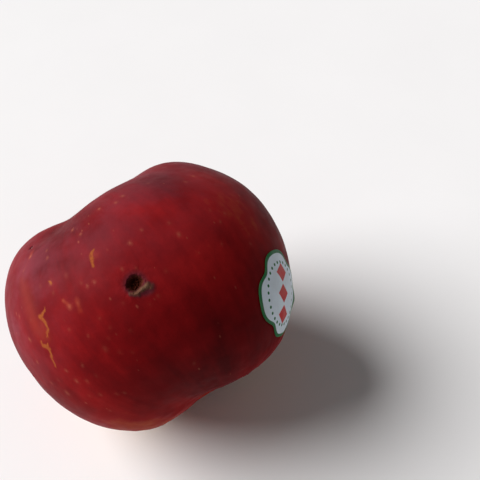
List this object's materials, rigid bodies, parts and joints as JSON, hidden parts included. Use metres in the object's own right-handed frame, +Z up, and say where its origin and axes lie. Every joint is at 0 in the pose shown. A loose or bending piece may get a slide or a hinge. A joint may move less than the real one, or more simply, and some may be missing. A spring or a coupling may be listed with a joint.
{
  "type": "pixie apple",
  "caption": "Small lopsided dark red apple lying on its side, with a short stalk, a dried calyx, a pecked hole and a small label with a notched edge.",
  "frame": {"origin": "centre of the bounding box, on the surface that the fruit rests on", "axes": "+Z up; +X to the right of someone who faces the side with the pecked hole; +Y away from them; the stem end points up, left and away"},
  "size_m": [0.0645, 0.0594, 0.0619],
  "materials": {
    "skin": "satin waxy fruit skin",
    "stalk": "dry bark",
    "calyx": "dry and rough",
    "label": "satin film"
  },
  "bodies": {
    "root": {"apple": "skin", "stem": "stalk", "calyx": "calyx", "label": "label"}
  },
  "joints": []
}
